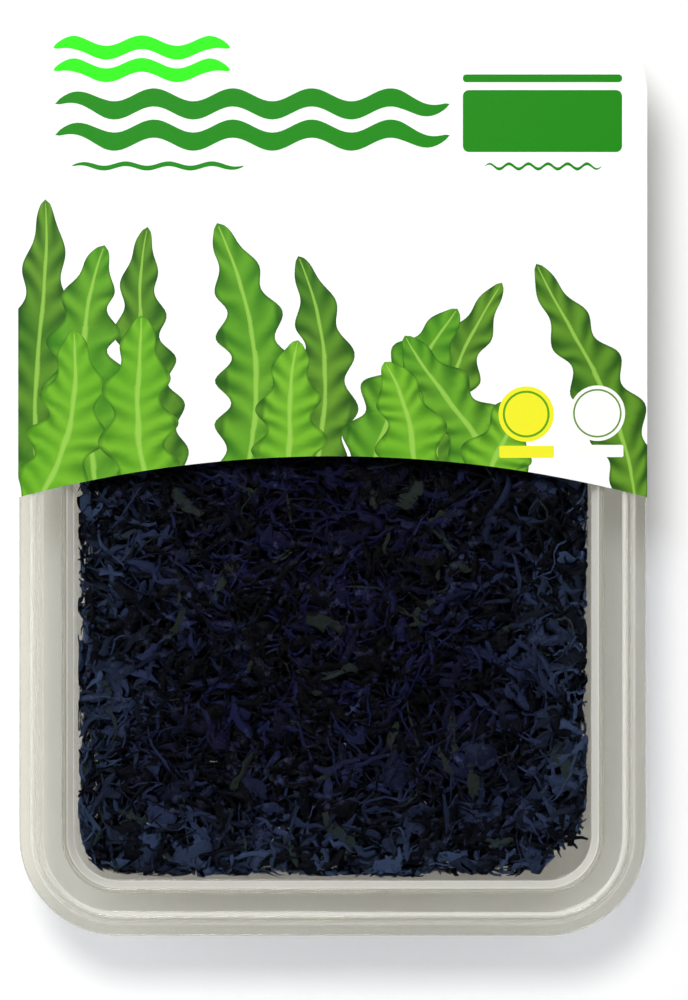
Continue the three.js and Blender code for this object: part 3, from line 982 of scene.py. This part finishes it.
def make_card():
    outline = card_outline()
    white = linear(250, 252, 249)
    motifs = [(outline, white, None), *card_motifs()]
    points, faces = [], []
    for shape, _, _ in motifs:
        faces.append(list(range(len(points), len(points) + len(shape))))
        points += [Vector(p) for p in shape]
    edges = []
    for _, _, blade in motifs:
        if blade:
            start = len(points)
            points += [Vector(p) for p in blade.middle]
            edges += [(start + i, start + i + 1) for i in range(len(blade.middle) - 1)]
    made, _, triangles, _, _, sources = delaunay_2d_cdt(points, edges, faces, 1, 1e-4)
    flat = np.array([p[:] for p in made])
    kept = [(tri, max(source)) for tri, source in zip(triangles, sources) if 0 in source]
    used = sorted({corner for tri, _ in kept for corner in tri})
    new_place = {old: new for new, old in enumerate(used)}
    flat = flat[used]
    tops = [tuple(new_place[c] for c in tri) for tri, _ in kept]
    regions = [region for _, region in kept]
    # The card's edge is every side that only one triangle has
    sides = {}
    for tri in tops:
        for a, b in zip(tri, tri[1:] + tri[:1]):
            sides[(a, b)] = (b, a) not in sides
            if (b, a) in sides:
                sides[(b, a)] = False
                sides[(a, b)] = False
    border = [side for side, alone in sides.items() if alone]
    count = len(flat)
    levels = (CARD_TOP, CARD_UNDERSIDE)
    vertices = np.vstack([np.column_stack([flat, np.full(count, z)]) for z in levels])
    walls = [(b, a, a + count, b + count) for a, b in border]
    unders = [tuple(c + count for c in reversed(tri)) for tri in tops]
    mesh = bpy.data.meshes.new("card_printed")
    mesh.from_pydata(plain_points(vertices), [], tops + walls + unders)
    leaf = np.zeros((len(mesh.loops), 3))
    ink = np.ones((len(mesh.loops), 4))
    ink[:, :3] = white
    corner_vertex = np.array(tops)
    for region, (_, colour, blade) in enumerate(motifs):
        chosen = np.flatnonzero(np.array(regions) == region)
        if not len(chosen):
            continue
        loops = (chosen[:, None] * 3 + np.arange(3)).reshape(-1)
        ink[loops, :3] = colour
        if blade:
            across, along = blade.coordinates(flat[corner_vertex[chosen].reshape(-1)])
            leaf[loops] = np.column_stack([across, along, np.ones(len(loops))])
    inks = mesh.attributes.new("ink", "FLOAT_COLOR", "CORNER")
    inks.data.foreach_set("color", ink.reshape(-1))
    leaves = mesh.attributes.new("leaf", "FLOAT_VECTOR", "CORNER")
    leaves.data.foreach_set("vector", leaf.reshape(-1))
    bake = mesh.uv_layers.new(name="OFBake")
    corners = np.zeros(len(mesh.loops), dtype=int)
    mesh.loops.foreach_get("vertex_index", corners)
    plan = vertices[corners, :2] / PACK_LENGTH + 0.5
    # The plain underside and sides need little room
    lower = vertices[corners, 2] < CARD_TOP
    plan[lower, 0] = 0.02 + 0.1 * plan[lower, 0]
    plan[lower, 1] = 0.02 + 0.1 * plan[lower, 1]
    bake.data.foreach_set("uv", plan.reshape(-1))
    smooth_faces(mesh, False)
    piece("card_printed", mesh, printed_card(), "card")


def make_plastic():
    for node, profile in (("tray", tray_profile()), ("lid", lid_profile())):
        mesh = profile_mesh(f"{node}_shell", bent(profile, BEND_REACH))
        piece(f"{node}_shell", mesh, clear_plastic(f"{node}_plastic"), node)


# Camera, light and floor
def make_camera():
    camera = bpy.data.cameras.new("camera")
    frame_height = FRAME_HEIGHT_PIXELS * MM_PER_PIXEL
    camera.lens = camera.sensor_width * (CAMERA_HEIGHT - CARD_TOP) / frame_height
    camera.clip_start = 0.01
    thing = bpy.data.objects.new("camera", camera)
    thing.location = (FRAME_CENTRE[0] * MM, FRAME_CENTRE[1] * MM, CAMERA_HEIGHT * MM)
    bpy.context.scene.collection.objects.link(thing)
    bpy.context.scene.camera = thing


def area_light(name, place, size, power, target=(0, 0, 0.02)):
    light = bpy.data.lights.new(name, "AREA")
    light.shape = "DISK"
    light.size = size
    light.energy = power
    thing = bpy.data.objects.new(name, light)
    thing.location = place
    thing.rotation_mode = "QUATERNION"
    thing.rotation_quaternion = (Vector(target) - Vector(place)).to_track_quat("-Z", "Y")
    bpy.context.scene.collection.objects.link(thing)


def make_studio():
    mesh = bpy.data.meshes.new("floor")
    signs = [(-1, -1), (1, -1), (1, 1), (-1, 1)]
    mesh.from_pydata([(FLOOR_REACH * x, FLOOR_REACH * y, 0) for x, y in signs], [], [(0, 1, 2, 3)])
    material, nodes, links, shader = new_material("floor")
    shader.inputs["Base Color"].default_value = (0.92, 0.92, 0.92, 1)
    shader.inputs["Roughness"].default_value = 0.9
    shader.inputs["Specular IOR Level"].default_value = 0.1
    shader.inputs["Emission Color"].default_value = (1, 1, 1, 1)
    shader.inputs["Emission Strength"].default_value = FLOOR_GLOW
    mesh.materials.append(material)
    floor = bpy.data.objects.new("floor", mesh)
    floor.location.z = -0.0005
    bpy.context.scene.collection.objects.link(floor)
    area_light("key", KEY_PLACE, KEY_SIZE, KEY_POWER)
    area_light("fill", FILL_PLACE, FILL_SIZE, FILL_POWER)
    world = bpy.data.worlds.new("studio")
    world.use_nodes = True
    bpy.context.scene.world = world
    nodes = world.node_tree.nodes
    links = world.node_tree.links
    sky = nodes["Background"]
    sky.inputs["Color"].default_value = (1, 1, 1, 1)
    place = nodes.new("ShaderNodeTexCoord")
    split = nodes.new("ShaderNodeSeparateXYZ")
    links.new(place.outputs["Generated"], split.inputs["Vector"])
    # Bright low down, soft higher up, and dark right above, so that the flat lid doesn't mirror it
    low = remapped(nodes, links, split.outputs["Z"], *LOW_SKY_FADE, LOW_SKY - HIGH_SKY, 0)
    high = remapped(nodes, links, split.outputs["Z"], *HIGH_SKY_FADE, HIGH_SKY, 0)
    links.new(maths(nodes, links, "ADD", low, high), sky.inputs["Strength"])
    bpy.context.scene.view_settings.view_transform = "Standard"


make_camera()
make_studio()
make_plastic()
make_card()
make_filling()
